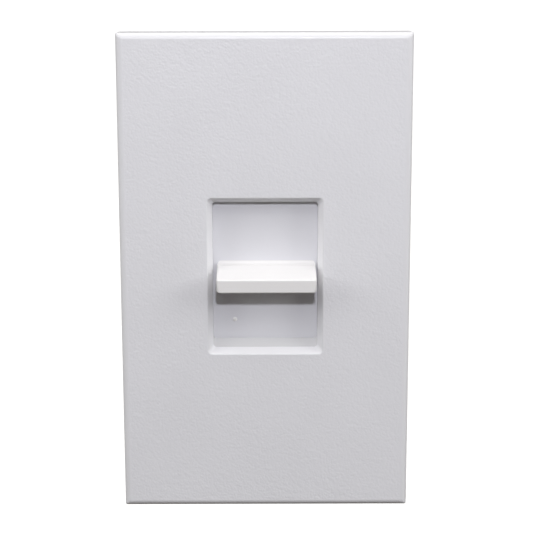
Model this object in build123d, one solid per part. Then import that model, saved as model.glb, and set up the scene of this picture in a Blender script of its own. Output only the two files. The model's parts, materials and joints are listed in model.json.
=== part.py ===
from build123d import *
import math
import os

# Wall dimmer with a sliding knob, single gang, in millimetres.
# X is to the right, Z is up, and Y points into the wall. The origin is on the wall plane,
# midway between the two box screws.

# Driving dimensions: the face plate and its opening
PLATE_W = 69.85
PLATE_H = 116.3
PLATE_T = 8.4
PLATE_WALL = 2.2
PLATE_CORNER_R = 0.4
PLATE_EDGE_R = 1.55
OPENING_W = 25.4
OPENING_H = 35.9
OPENING_R = 0.8
MOUTH_INSET = 1.2
MOUTH_DEPTH = 2.3
MOUTH_R = 1.0
COLLAR_WALL = 1.6
SILL_H = 1.85
SILL_DEPTH = 1.75
SILL_LAND = 0.25
SILL_OVERLAP = 0.4
LEDGE_X = 20.0
LEDGE_W = 9.0
LEDGE_FRONT = -3.4
LEDGE_BACK = -2.6
LEDGE_REACH = 0.9
PRY_SLOT_W = 10.0
PRY_SLOT_DEPTH = 1.2

# Driving dimensions: the strap, the adapter and the screws of the wiring-device standard
BOX_SCREW_SPACING = 83.34
BOX_HOLE_R = 2.2
PLATE_SCREW_SPACING = 96.84
STRAP_T = 1.2
STRAP_W = 44.0
STRAP_WIDE_H = 73.0
STRAP_EAR_W = 33.0
STRAP_H = 105.0
STRAP_EAR_R = 5.0
STRAP_EAR_X = 14.4
SCORE_X = 11.0
SCORE_Z = 47.5
SCORE_W = 0.8
SCORE_H = 6.8
GROUND_Z = -41.6
GROUND_Y = 5.5
GROUND_TAB_W = 8.8
GROUND_TAB_END = 10.0
ADAPTER_W = 62.0
ADAPTER_H = 108.4
ADAPTER_T = 1.5
RIB_T = 1.0
RIB_H = 0.9
RIB_REACH = 48.0
RIB_STEPS = 4
RIB_FROM_EDGE = 0.8
RIB_FROM_STRAP = 0.7
GUIDE_GAP = 0.3
GUIDE_T = 1.2
GUIDE_REACH = 47.0
TAB_W = 7.0
TAB_T = 1.2
TAB_FRONT = -5.0
HOOK_REACH = 1.2
HOOK_BACK = -3.7
HOOK_TIP = -4.1
BOX_SCREW_ACCESS_R = 5.0
SCREW_R = 1.7
SCREW_GAP = 0.3
THREAD_GAP = 0.05
COUNTERSINK_DEPTH = 1.4
COUNTERSINK_SPREAD = 1.75
FLAT_HEAD_SPREAD = 1.55
FLAT_HEAD_H = 1.3
CROSS_RECESS_W = 0.8
CROSS_RECESS_SPAN = 4.4
CROSS_RECESS_DEPTH = 0.8
ADAPTER_SCREW_END = 8.0
SIDE_HEAD_R = 3.9
SIDE_HEAD_T = 1.8
SIDE_HEAD_ROUND = 0.5
SIDE_SLOT_W = 1.2
SIDE_SLOT_DEPTH = 0.9
WIRE_ROOM = 0.8

# Driving dimensions: the knob and its shutter
RECESS = 4.4
SHUTTER_T = 0.8
SHUTTER_W = 27.2
SHUTTER_H = 65.6
KNOB_W = 23.8
KNOB_X = 0.3
KNOB_REACH = 10.0
KNOB_BOTTOM = -2.82
KNOB_FRONT_TOP = 0.48
KNOB_ROOT_TOP = 2.4
KNOB_ROOT_R = 1.0
KNOB_CORNER_R = 0.7
KNOB_FRONT_ROUND = 0.35
SHUTTER_CORNER_R = 1.5
PIP_X = -7.2
PIP_Z = -11.3
PIP_R = 0.55
PIP_SUNK = 0.25
LEG_X = 3.6
LEG_W = 2.0
LEG_H = 4.4
LEG_END_Y = 5.2
LEG_END_CHAMFER = 0.4
TRAVEL_UP = 14.0
TRAVEL_DOWN = 13.0

# Driving dimensions: the housing and what it holds
HOUSING_W = 42.0
HOUSING_H = 68.0
HOUSING_D = 30.0
HOUSING_WALL = 1.8
HOUSING_DRAFT = 0.5
HOUSING_CORNER_R = 2.0
HOUSING_BACK_ROUND = 1.4
FLANGE_W = 43.4
FLANGE_H = 70.0
FLANGE_T = 2.4
FLANGE_CORNER_R = 2.4
LABEL_RECESS_W = 27.0
LABEL_RECESS_H = 46.0
LABEL_RECESS_DEPTH = 0.5
WELL_R = 2.1
WELL_DEPTH = 1.0
CHANNEL_W = 4.0
CHANNEL_DEPTH = 0.6
CHANNEL_UP = 1.0
BOSS_X = 18.2
BOSS_Z = 31.2
BOSS_R = 2.6
PILOT_R = 1.3
PILOT_DEPTH = 12.0
WELL_X = 17.6
WELL_Z = 30.2
HOUSING_SCREW_END = 10.0
HOUSING_HEAD_R = 2.8
HOUSING_HEAD_T = 1.4
HOUSING_HEAD_ROUND = 0.6
HEAD_SLOT_W = 0.8
HEAD_SLOT_SPAN = 3.4
HEAD_SLOT_DEPTH = 0.7
POCKET_Z = 20.0
POCKET_SIZE = 12.0
POCKET_DEPTH = 4.0
POCKET_FLOOR = 1.5
POCKET_Y = 9.0
CLAMP_SIZE = 10.0
CLAMP_T = 1.2
CLAMP_TAB_X = 13.0
CLAMP_TAB_Y = 12.7
CLAMP_TAB_W = 4.0
CLAMP_SCREW_END = 15.8
BOARD_Y = 14.0
BOARD_T = 1.6
BOARD_LEFT = -18.5
BOARD_RIGHT = 15.0
BOARD_H = 63.0
ROD_R = 1.0
ROD_GAP = 0.05
ROD_X = 10.0
ROD_Y = 4.0
BASE_FLOOR_Y = 8.0
BASE_W = 26.0
BASE_H = 43.0
BASE_T = 1.5
BASE_WALL = 2.3
BASE_FRONT = 1.0
ROD_SEAT = 1.5
SPIGOT_R = 1.6
SPIGOT_X = 11.0
SPIGOT_Z = 18.0
TRACK_T = 0.3
TRACK_X = 3.5
TRACK_W = 3.0
TRACK_H = 38.0
TRACK_PIN_R = 0.4
TRACK_PIN_Z = 17.5
PIN_PROUD = 1.5
CARRIAGE_W = 24.4
CARRIAGE_H = 8.0
CARRIAGE_FRONT = 2.0
CARRIAGE_BACK = 6.0
CAM_FRONT = 3.6
CAM_T = 2.2
FINGER_W = 1.6
WIPER_Z = -2.4
FRICTION_X = 9.0
FRICTION_W = 3.0

# Driving dimensions: the parts of the circuit
TRIAC_Z = 26.7
TRIAC_H = 10.0
TRIAC_FRONT = 0.2
TRIAC_BACK = 4.7
TRIAC_BODY_LEFT = -1.5
TRIAC_BODY_RIGHT = 7.5
TRIAC_TAB_LEFT = -8.0
TRIAC_TAB_RIGHT = 6.0
TRIAC_TAB_BACK = 1.5
TRIAC_LEAD_PITCH = 2.54
TRIAC_LEAD_X = 11.2
TRIAC_LEAD_Y = 2.4
TRIAC_LEAD_W = 0.8
TRIAC_LEAD_T = 0.5
FILM_EDGE = 0.3
RIVET_X = -5.0
RIVET_R = 1.5
RIVET_HOLE_R = 1.6
RIVET_HEAD_R = 2.8
RIVET_HEAD_T = 0.9
RIVET_ROLL_R = 2.3
RIVET_END = 2.2
CHOKE_X = -5.0
CHOKE_Z = 13.0
CHOKE_OUTER_R = 9.0
CHOKE_INNER_R = 5.2
CHOKE_FRONT = 1.6
CHOKE_BACK = 8.6
CHOKE_TURNS = 21
CHOKE_STEP = 14.0
CHOKE_START = -50.0
WIRE_W = 0.84
WIRE_T = 1.0
WIRE_GAP = 0.1
FILTER_CAP_H = 11.0
TIMING_CAP_W = 7.2
TIMING_CAP_H = 7.0
TIMING_CAP_T = 3.0
AXIAL_X = 3.5
AXIAL_LEAD_R = 0.3
AXIAL_STAND = 0.4
AXIAL_REACH = 1.6

# Places that follow from the dimensions above
PLATE_FRONT = -PLATE_T
PLATE_INNER = PLATE_FRONT + PLATE_WALL
SHUTTER_FRONT = PLATE_FRONT + RECESS
SHUTTER_BACK = SHUTTER_FRONT + SHUTTER_T
SHUTTER_MIDDLE = SHUTTER_FRONT + SHUTTER_T / 2
COLLAR_END = SHUTTER_FRONT - 0.3
STRAP_FRONT = -STRAP_T
ADAPTER_FRONT = STRAP_FRONT - ADAPTER_T
KNOB_FRONT = SHUTTER_FRONT - KNOB_REACH
HOUSING_BACK_INNER = HOUSING_D - HOUSING_WALL
BOARD_BACK = BOARD_Y + BOARD_T
BOX_SCREW_Z = BOX_SCREW_SPACING / 2
PLATE_SCREW_Z = PLATE_SCREW_SPACING / 2
POCKET_FLOOR_X = HOUSING_W / 2 - POCKET_DEPTH
WINDOW_TOP = TRAVEL_UP + LEG_H / 2 + 0.8
WINDOW_BOTTOM = -TRAVEL_DOWN - LEG_H / 2 - 0.8
WINDOW_HALF_W = LEG_X + LEG_W / 2 + 0.7

# The air gap switch, low on the left of the housing
ARM_PIN_X = -16.75
ARM_PIN_Y = 5.0
ARM_PIN_Z = -25.9
ARM_PIN_R = 0.8
ARM_TIP_Z = -13.5
ARM_T = 0.3
ARM_W = 3.0
ARM_EYE_T = 0.45
BUMP_H = 0.45
CONTACT_Z = -20.0
CONTACT_R = 1.2
CONTACT_T = 0.45
CONTACT_GAP = 0.1
FIXED_CONTACT_T = 0.4
POST_T = 0.6
POST_W = 3.6
POST_FRONT = 3.4
BRACKET_EAR_T = 0.8
BRACKET_WEB_T = 0.6
BRACKET_CLEAR = 0.3
ARM_FACE_X = ARM_PIN_X + ARM_T / 2

# A length that takes a cutter right through any piece
THROUGH = 60.0


def block(x0, x1, y0, y1, z0, z1):
    """A box given by its limits."""
    middle = Pos((x0 + x1) / 2, (y0 + y1) / 2, (z0 + z1) / 2)
    return middle * Box(x1 - x0, y1 - y0, z1 - z0)


def rod_x(radius, y, z, x0, x1):
    return Pos((x0 + x1) / 2, y, z) * Rot(0, 90, 0) * Cylinder(radius, x1 - x0)


def rod_y(radius, x, z, y0, y1):
    return Pos(x, (y0 + y1) / 2, z) * Rot(90, 0, 0) * Cylinder(radius, y1 - y0)


def rod_z(radius, x, y, z0, z1):
    return Pos(x, y, (z0 + z1) / 2) * Cylinder(radius, z1 - z0)


def drill_x(radius, y, z):
    return rod_x(radius, y, z, -THROUGH, THROUGH)


def drill_y(radius, x, z):
    return rod_y(radius, x, z, -THROUGH, THROUGH)


def punch_y(x0, x1, z0, z1):
    """A rectangular cutter that goes right through along Y."""
    return block(x0, x1, -THROUGH, THROUGH, z0, z1)


def window():
    """The cutter for the slot that the knob's legs travel in."""
    return punch_y(-WINDOW_HALF_W, WINDOW_HALF_W, WINDOW_BOTTOM, WINDOW_TOP)


def prism_x(points, x0, x1):
    """A solid whose YZ outline is given by (y, z) points, between x0 and x1."""
    outline = Polyline(*[(x0, y, z) for y, z in points], close=True)
    return extrude(make_face(outline), amount=x1 - x0, dir=(1, 0, 0))


def prism_y(points, y0, y1):
    """A solid whose XZ outline is given by (x, z) points, between y0 and y1."""
    outline = Polyline(*[(x, y0, z) for x, z in points], close=True)
    return extrude(make_face(outline), amount=y1 - y0, dir=(0, 1, 0))


def joined(pieces):
    total = pieces[0]
    for piece in pieces[1:]:
        total = total + piece
    return total


def cut_all(body, tools):
    for tool in tools:
        body = body - tool
    return body


def rounded_section(width, height, radius, y):
    """A rectangle with round corners standing in the plane at y."""
    outline = fillet(Rectangle(width, height).vertices(), radius)
    return Pos(0, y, 0) * Rot(90, 0, 0) * outline


def plate_shell():
    """The outer skin of the face plate: rounded round its front, hollow behind."""
    half_w = PLATE_W / 2
    half_h = PLATE_H / 2
    skin = block(-half_w, half_w, PLATE_FRONT, 0, -half_h, half_h)
    skin = fillet(skin.faces().sort_by(Axis.Y)[0].edges(), PLATE_EDGE_R)
    corners = [edge for edge in skin.edges() if abs(edge.center().X) > half_w - PLATE_EDGE_R
               and abs(edge.center().Z) > half_h - PLATE_EDGE_R]
    skin = fillet(corners, PLATE_CORNER_R)
    hollow = block(
        -half_w + PLATE_WALL, half_w - PLATE_WALL, PLATE_INNER, 1,
        -half_h + PLATE_WALL, half_h - PLATE_WALL,
    )
    return skin - fillet(hollow.edges().filter_by(Axis.Y), 1.0)


def plate_opening():
    """What is cut away for the opening, with its sloping mouth."""
    half_w = OPENING_W / 2
    half_h = OPENING_H / 2
    hole = block(-half_w, half_w, PLATE_FRONT, COLLAR_END + 1, -half_h, half_h)
    hole = fillet(hole.edges().filter_by(Axis.Y), OPENING_R)
    mouth = rounded_section(
        OPENING_W + 2 * MOUTH_INSET, OPENING_H + 2 * MOUTH_INSET, MOUTH_R, PLATE_FRONT,
    )
    throat = rounded_section(OPENING_W, OPENING_H, OPENING_R, PLATE_FRONT + MOUTH_DEPTH)
    return hole + loft([mouth, throat], ruled=True)


def face_plate():
    plate = plate_shell()
    collar_w = OPENING_W / 2 + COLLAR_WALL
    collar_h = OPENING_H / 2 + COLLAR_WALL
    collar_front = PLATE_FRONT + PLATE_WALL / 2
    plate = plate + block(-collar_w, collar_w, collar_front, COLLAR_END, -collar_h, collar_h)
    plate = plate - plate_opening() + sill() + snap_ledges()
    half_slot = PRY_SLOT_W / 2
    slot_top = -PLATE_H / 2 + PLATE_WALL + PLATE_CORNER_R
    return plate - block(-half_slot, half_slot, -PRY_SLOT_DEPTH, THROUGH, -THROUGH, slot_top)


def sill():
    """The slope across the bottom of the opening, in front of the shutter."""
    foot = -OPENING_H / 2
    points = [
        (COLLAR_END - SILL_DEPTH, foot - SILL_OVERLAP),
        (COLLAR_END - SILL_DEPTH, foot),
        (COLLAR_END - SILL_LAND, foot + SILL_H),
        (COLLAR_END, foot + SILL_H),
        (COLLAR_END, foot - SILL_OVERLAP),
    ]
    half_w = OPENING_W / 2 + SILL_OVERLAP
    return prism_x(points, -half_w, half_w)


def snap_ledges():
    """Four ledges inside the plate's top and bottom walls that catch on the adapter's hooks."""
    wall_in = PLATE_H / 2 - PLATE_WALL
    ledges = []
    for side in (-1, 1):
        near, far = sorted((side * (wall_in - LEDGE_REACH), side * (wall_in + PLATE_WALL / 2)))
        for x in (-LEDGE_X, LEDGE_X):
            x0 = x - LEDGE_W / 2
            ledges.append(block(x0, x0 + LEDGE_W, LEDGE_FRONT, LEDGE_BACK, near, far))
    return joined(ledges)


def adapter_frame():
    """The plate that the face plate snaps on to, with guides for the shutter's sides."""
    half_w = ADAPTER_W / 2
    half_h = ADAPTER_H / 2
    frame = block(-half_w, half_w, ADAPTER_FRONT, STRAP_FRONT, -half_h, half_h)
    frame = fillet(frame.edges().filter_by(Axis.Y), 2.0)
    holes = [window(), drill_y(RIVET_HEAD_R + 0.8, RIVET_X, TRIAC_Z)]
    for side in (-1, 1):
        z = side * PLATE_SCREW_Z
        holes.append(drill_y(BOX_SCREW_ACCESS_R, 0, side * BOX_SCREW_Z))
        holes.append(drill_y(SCREW_R + SCREW_GAP, 0, z))
        holes.append(cone_y(COUNTERSINK_SPREAD, COUNTERSINK_DEPTH, z, ADAPTER_FRONT))
        for x in (-BOSS_X, BOSS_X):
            holes.append(drill_y(HOUSING_HEAD_R + 0.7, x, side * BOSS_Z))
    frame = cut_all(frame, holes)
    for side in (-1, 1):
        frame = frame + shutter_guide(side) + snap_tabs(side) + edge_ribs(side)
    return frame


def cone_y(spread, depth, z, y_front):
    """A cone about the screw line x = 0 that opens towards the front."""
    cone = Cone(SCREW_R + spread, SCREW_R, depth)
    return Pos(0, y_front + depth / 2, z) * Rot(-90, 0, 0) * cone


def shutter_guide(side):
    """The upright rail that keeps the shutter straight, on the left or the right."""
    inner = SHUTTER_W / 2 + GUIDE_GAP
    x0, x1 = sorted((side * inner, side * (inner + GUIDE_T)))
    return block(x0, x1, SHUTTER_FRONT, ADAPTER_FRONT, -GUIDE_REACH, GUIDE_REACH)


def edge_ribs(side):
    """The stiffening ribs on the back of the adapter's left or right edge."""
    outer = ADAPTER_W / 2 - RIB_FROM_EDGE
    inner = STRAP_W / 2 + RIB_FROM_STRAP
    rib_back = STRAP_FRONT + RIB_H
    ribs = []
    for near in (outer - RIB_T, inner):
        x0, x1 = sorted((side * near, side * (near + RIB_T)))
        ribs.append(block(x0, x1, STRAP_FRONT, rib_back, -RIB_REACH, RIB_REACH))
    x0, x1 = sorted((side * inner, side * outer))
    for step in range(-RIB_STEPS, RIB_STEPS + 1):
        z = step * (RIB_REACH - RIB_T / 2) / RIB_STEPS
        ribs.append(block(x0, x1, STRAP_FRONT, rib_back, z - RIB_T / 2, z + RIB_T / 2))
    return joined(ribs)


def snap_tabs(side):
    """Two hooked tabs on the top (side 1) or bottom (side -1) edge of the adapter."""
    tabs = []
    edge = ADAPTER_H / 2
    low, high = sorted((side * (edge - TAB_T), side * edge))
    hook = [
        (TAB_FRONT, side * edge),
        (HOOK_BACK, side * edge),
        (HOOK_BACK, side * (edge + HOOK_REACH)),
        (HOOK_TIP, side * (edge + HOOK_REACH)),
    ]
    for x in (-LEDGE_X, LEDGE_X):
        x0 = x - TAB_W / 2
        tabs.append(block(x0, x0 + TAB_W, TAB_FRONT, STRAP_FRONT, low, high))
        tabs.append(prism_x(hook, x0, x0 + TAB_W))
    return joined(tabs)


def flat_head_screw(z, reach):
    """A countersunk screw along Y with a cross recess, its head flush with the adapter."""
    head_front = ADAPTER_FRONT + 0.1
    head = cone_y(FLAT_HEAD_SPREAD, FLAT_HEAD_H, z, head_front)
    screw = head + rod_y(SCREW_R, 0, z, head_front + FLAT_HEAD_H / 2, reach)
    floor = ADAPTER_FRONT + CROSS_RECESS_DEPTH
    wide = CROSS_RECESS_SPAN / 2
    narrow = CROSS_RECESS_W / 2
    screw = screw - block(-wide, wide, -THROUGH, floor, z - narrow, z + narrow)
    return screw - block(-narrow, narrow, -THROUGH, floor, z - wide, z + wide)


def adapter_screws():
    heights = (-PLATE_SCREW_Z, PLATE_SCREW_Z)
    return Compound(children=[flat_head_screw(z, ADAPTER_SCREW_END) for z in heights])


def ground_tab():
    """The tab bent back from the strap's lower left edge, with the ground screw's hole."""
    edge = -STRAP_EAR_W / 2
    low = GROUND_Z - GROUND_TAB_W / 2
    tab = block(edge, edge + STRAP_T, STRAP_FRONT, GROUND_TAB_END, low, low + GROUND_TAB_W)
    tab = fillet(tab.edges().filter_by(Axis.X).sort_by(Axis.Y)[-2:], 2.0)
    return tab - drill_x(SCREW_R + THREAD_GAP, GROUND_Y, GROUND_Z)


def mounting_strap():
    """The metal strap that the box screws hold, and that carries away the triac's heat."""
    half_ear = STRAP_EAR_W / 2
    strap = block(-half_ear, half_ear, STRAP_FRONT, 0, -STRAP_H / 2, STRAP_H / 2)
    wide = block(-STRAP_W / 2, STRAP_W / 2, STRAP_FRONT, 0, -STRAP_WIDE_H / 2, STRAP_WIDE_H / 2)
    strap = fillet(strap.edges().filter_by(Axis.Y), 3.0)
    strap = strap + fillet(wide.edges().filter_by(Axis.Y), 1.5) + ground_tab()
    for x in (-STRAP_EAR_X, STRAP_EAR_X):
        for z in (-STRAP_H / 2 + STRAP_EAR_R, STRAP_H / 2 - STRAP_EAR_R):
            strap = strap + rod_y(STRAP_EAR_R, x, z, STRAP_FRONT, 0)
    holes = [window(), drill_y(RIVET_HOLE_R, RIVET_X, TRIAC_Z)]
    for side in (-1, 1):
        holes.append(drill_y(BOX_HOLE_R, 0, side * BOX_SCREW_Z))
        holes.append(drill_y(SCREW_R + THREAD_GAP, 0, side * PLATE_SCREW_Z))
        for x in (-BOSS_X, BOSS_X):
            holes.append(drill_y(PILOT_R + SCREW_GAP, x, side * BOSS_Z))
        low = side * SCORE_Z - SCORE_H / 2
        for x in (-SCORE_X, SCORE_X):
            x0 = x - SCORE_W / 2
            holes.append(punch_y(x0, x0 + SCORE_W, low, low + SCORE_H))
    return cut_all(strap, holes)


def pocket_at(z):
    """One terminal pocket's outside and its hollow, on the right of the housing."""
    half = POCKET_SIZE / 2
    shell = block(
        POCKET_FLOOR_X - POCKET_FLOOR, HOUSING_W / 2, 0, POCKET_Y + half + POCKET_FLOOR,
        z - half - POCKET_FLOOR, z + half + POCKET_FLOOR,
    )
    hollow = block(POCKET_FLOOR_X, HOUSING_W, POCKET_Y - half, POCKET_Y + half, z - half, z + half)
    return shell, hollow


def wire_channel(z):
    """The groove that guides a stripped wire along the housing's side into its pocket."""
    x0 = HOUSING_W / 2 - HOUSING_DRAFT - CHANNEL_DEPTH
    return block(x0, HOUSING_W, POCKET_Y, THROUGH, z + CHANNEL_UP, z + CHANNEL_UP + CHANNEL_W)


def label_recess():
    """The shallow empty panel on the housing's back."""
    half_w = LABEL_RECESS_W / 2
    half_h = LABEL_RECESS_H / 2
    recess = block(-half_w, half_w, HOUSING_D - LABEL_RECESS_DEPTH, THROUGH, -half_h, half_h)
    return fillet(recess.edges().filter_by(Axis.Y), 1.5)


def housing_outside():
    """The tapered box and the flange that closes it against the strap."""
    root = rounded_section(HOUSING_W, HOUSING_H, HOUSING_CORNER_R, 0)
    tip_w = HOUSING_W - 2 * HOUSING_DRAFT
    tip_h = HOUSING_H - 2 * HOUSING_DRAFT
    tip = rounded_section(tip_w, tip_h, HOUSING_CORNER_R, HOUSING_D)
    outside = loft([root, tip], ruled=True)
    outside = fillet(outside.faces().sort_by(Axis.Y)[-1].edges(), HOUSING_BACK_ROUND)
    half_w = FLANGE_W / 2
    half_h = FLANGE_H / 2
    flange = block(-half_w, half_w, 0, FLANGE_T, -half_h, half_h)
    return outside + fillet(flange.edges().filter_by(Axis.Y), FLANGE_CORNER_R)


def rear_housing():
    """The box behind the strap, with bosses for its screws and pockets for the side screws."""
    inner_w = HOUSING_W / 2 - HOUSING_WALL
    inner_h = HOUSING_H / 2 - HOUSING_WALL
    inside = block(-inner_w, inner_w, -THROUGH, HOUSING_BACK_INNER, -inner_h, inner_h)
    hollows = [label_recess()]
    for z in (-POCKET_Z, POCKET_Z):
        shell, hollow = pocket_at(z)
        inside = inside - shell
        hollows.append(hollow)
        hollows.append(rod_x(SCREW_R + SCREW_GAP, POCKET_Y, z, CLAMP_TAB_X, HOUSING_W / 2))
        half_slot = CLAMP_TAB_W / 2 + 0.2
        slot_front = CLAMP_TAB_Y - 0.1
        hollows.append(block(
            CLAMP_TAB_X, POCKET_FLOOR_X + 0.1, slot_front, BOARD_Y, z - half_slot, z + half_slot,
        ))
        hollows.append(wire_channel(z))
    for side in (-1, 1):
        for end in (-1, 1):
            x = side * BOSS_X
            z = end * BOSS_Z
            inside = inside - rod_y(BOSS_R, x, z, -THROUGH, HOUSING_D)
            hollows.append(rod_y(PILOT_R, x, z, -THROUGH, PILOT_DEPTH))
            well_floor = HOUSING_D - WELL_DEPTH
            hollows.append(rod_y(WELL_R, side * WELL_X, end * WELL_Z, well_floor, THROUGH))
    return cut_all(housing_outside() - inside, hollows)


def housing_screws():
    screws = []
    for x in (-BOSS_X, BOSS_X):
        for z in (-BOSS_Z, BOSS_Z):
            head_front = STRAP_FRONT - HOUSING_HEAD_T
            head = rod_y(HOUSING_HEAD_R, x, z, head_front, STRAP_FRONT)
            head = fillet(head.faces().sort_by(Axis.Y)[0].edges(), HOUSING_HEAD_ROUND)
            shank = rod_y(PILOT_R - THREAD_GAP, x, z, head_front + HEAD_SLOT_DEPTH, HOUSING_SCREW_END)
            x0 = x - HEAD_SLOT_SPAN / 2
            z0 = z - HEAD_SLOT_W / 2
            slot_floor = head_front + HEAD_SLOT_DEPTH
            slot = block(x0, x0 + HEAD_SLOT_SPAN, -THROUGH, slot_floor, z0, z0 + HEAD_SLOT_W)
            screws.append(head + shank - slot)
    return Compound(children=screws)


def terminal_plates():
    """Clamp plates under the side screws, each with a tab that runs in to the board."""
    plates = []
    half = CLAMP_SIZE / 2
    half_tab = CLAMP_TAB_W / 2
    face = POCKET_FLOOR_X + CLAMP_T
    tab_back = CLAMP_TAB_Y + CLAMP_T
    for z in (-POCKET_Z, POCKET_Z):
        plate = block(POCKET_FLOOR_X, face, POCKET_Y - half, POCKET_Y + half, z - half, z + half)
        tab = block(CLAMP_TAB_X, face, CLAMP_TAB_Y, tab_back, z - half_tab, z + half_tab)
        plates.append(plate + tab - drill_x(SCREW_R + THREAD_GAP, POCKET_Y, z))
    return Compound(children=plates)


def binding_screw(y, z, x_seat, x_end):
    """A side screw along X: a broad slotted head standing off its plate for the wire."""
    out = 1 if x_seat > x_end else -1
    outer = 1 if out > 0 else 0
    x_face = x_seat + out * SIDE_HEAD_T
    head = rod_x(SIDE_HEAD_R, y, z, *sorted((x_seat, x_face)))
    rims = head.edges().filter_by(GeomType.CIRCLE).sort_by(Axis.X)
    head = fillet(rims[-outer], SIDE_HEAD_ROUND)
    slot_floor = x_face - out * SIDE_SLOT_DEPTH
    screw = head + rod_x(SCREW_R, y, z, *sorted((x_end, slot_floor)))
    x0, x1 = sorted((slot_floor, x_face + out))
    z0 = z - SIDE_SLOT_W / 2
    return screw - block(x0, x1, y - SIDE_HEAD_R, y + SIDE_HEAD_R, z0, z0 + SIDE_SLOT_W)


def terminal_screws():
    seat = POCKET_FLOOR_X + CLAMP_T + WIRE_ROOM
    heights = (-POCKET_Z, POCKET_Z)
    return Compound(children=[binding_screw(POCKET_Y, z, seat, CLAMP_SCREW_END) for z in heights])


def ground_screw():
    edge = -STRAP_EAR_W / 2
    return binding_screw(GROUND_Y, GROUND_Z, edge - WIRE_ROOM, edge + STRAP_T + 2.0)


def circuit_board():
    half_h = BOARD_H / 2
    board = block(BOARD_LEFT, BOARD_RIGHT, BOARD_Y, BOARD_BACK, -half_h, half_h)
    corners = [(x, z) for x in (-BOSS_X, BOSS_X) for z in (-BOSS_Z, BOSS_Z)]
    holes = [drill_y(BOSS_R + 0.3, x, z) for x, z in corners]
    holes += [drill_y(TRACK_PIN_R + 0.1, x, z) for x, z in pin_places()]
    holes += [drill_y(TRIAC_LEAD_W * 0.75, TRIAC_LEAD_X, z) for z in lead_places()]
    return cut_all(board, holes)


def slide_base():
    """The moulded tray of the slide control: it carries the tracks and the guide rods."""
    half_w = BASE_W / 2
    half_h = BASE_H / 2
    floor_end = BASE_FLOOR_Y + BASE_T
    base = block(-half_w, half_w, BASE_FLOOR_Y, floor_end, -half_h, half_h)
    for side in (-1, 1):
        z0, z1 = sorted((side * (half_h - BASE_WALL), side * half_h))
        base = base + block(-half_w, half_w, BASE_FRONT, BASE_FLOOR_Y, z0, z1)
        for x in (-SPIGOT_X, SPIGOT_X):
            base = base + rod_y(SPIGOT_R, x, side * SPIGOT_Z, floor_end, BOARD_Y)
    holes = [drill_y(TRACK_PIN_R + THREAD_GAP, x, z) for x, z in pin_places()]
    return cut_all(base - guide_rods(), holes)


def guide_rods():
    end = BASE_H / 2 - BASE_WALL + ROD_SEAT
    return Compound(children=[rod_z(ROD_R, x, ROD_Y, -end, end) for x in (-ROD_X, ROD_X)])


def track_strip(x):
    x0 = x - TRACK_W / 2
    half_h = TRACK_H / 2
    return block(x0, x0 + TRACK_W, BASE_FLOOR_Y - TRACK_T, BASE_FLOOR_Y, -half_h, half_h)


def pin_places():
    """Where the track pins stand, as (x, z)."""
    return [(-TRACK_X, -TRACK_PIN_Z), (-TRACK_X, TRACK_PIN_Z), (TRACK_X, -TRACK_PIN_Z)]


def track_pins():
    end = BOARD_BACK + PIN_PROUD
    pins = [rod_y(TRACK_PIN_R, x, z, BASE_FLOOR_Y, end) for x, z in pin_places()]
    return Compound(children=pins)


def slide_knob():
    """The finger bar and the shutter that closes the opening behind it, in one moulding."""
    half_w = KNOB_W / 2
    bar_points = [
        (SHUTTER_MIDDLE, KNOB_BOTTOM),
        (KNOB_FRONT, KNOB_BOTTOM),
        (KNOB_FRONT, KNOB_FRONT_TOP),
        (SHUTTER_MIDDLE, KNOB_ROOT_TOP),
    ]
    bar = prism_x(bar_points, -half_w, half_w)
    bar = fillet(bar.edges().filter_by(Axis.Y).sort_by(Axis.Z)[:2], KNOB_CORNER_R)
    bar = Pos(KNOB_X, 0, 0) * fillet(bar.faces().sort_by(Axis.Y)[0].edges(), KNOB_FRONT_ROUND)
    half_shutter = SHUTTER_W / 2
    shutter = block(
        -half_shutter, half_shutter, SHUTTER_FRONT, SHUTTER_BACK, -SHUTTER_H / 2, SHUTTER_H / 2,
    )
    shutter = fillet(shutter.edges().filter_by(Axis.Y), SHUTTER_CORNER_R)
    knob = shutter + bar + root_blend() + marker_pip()
    for x in (-LEG_X, LEG_X):
        x0 = x - LEG_W / 2
        leg = block(x0, x0 + LEG_W, SHUTTER_MIDDLE, LEG_END_Y, -LEG_H / 2, LEG_H / 2)
        knob = knob + chamfer(leg.faces().sort_by(Axis.Y)[-1].edges(), LEG_END_CHAMFER)
    return knob


def root_blend():
    """The hollow blend between the top of the bar and the shutter."""
    r = KNOB_ROOT_R
    fall = (KNOB_ROOT_TOP - KNOB_FRONT_TOP) / (SHUTTER_MIDDLE - KNOB_FRONT)
    y_start = SHUTTER_FRONT - r
    z_start = KNOB_ROOT_TOP - fall * (SHUTTER_MIDDLE - y_start)
    inside_bar = z_start - KNOB_FRONT_ROUND
    points = [(SHUTTER_MIDDLE, inside_bar), (y_start, inside_bar)]
    steps = 8
    for step in range(steps + 1):
        angle = math.radians(90.0 * step / steps)
        points.append((y_start + r * math.sin(angle), z_start + r * (1 - math.cos(angle))))
    points.append((SHUTTER_MIDDLE, z_start + r))
    half_w = KNOB_W / 2 - KNOB_FRONT_ROUND
    return prism_x(points, KNOB_X - half_w, KNOB_X + half_w)


def marker_pip():
    """The small raised dot low on the shutter's left."""
    ball = Pos(PIP_X, SHUTTER_FRONT + PIP_SUNK, PIP_Z) * Sphere(PIP_R)
    return ball - block(-THROUGH, THROUGH, SHUTTER_MIDDLE, THROUGH, -THROUGH, THROUGH)


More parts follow.
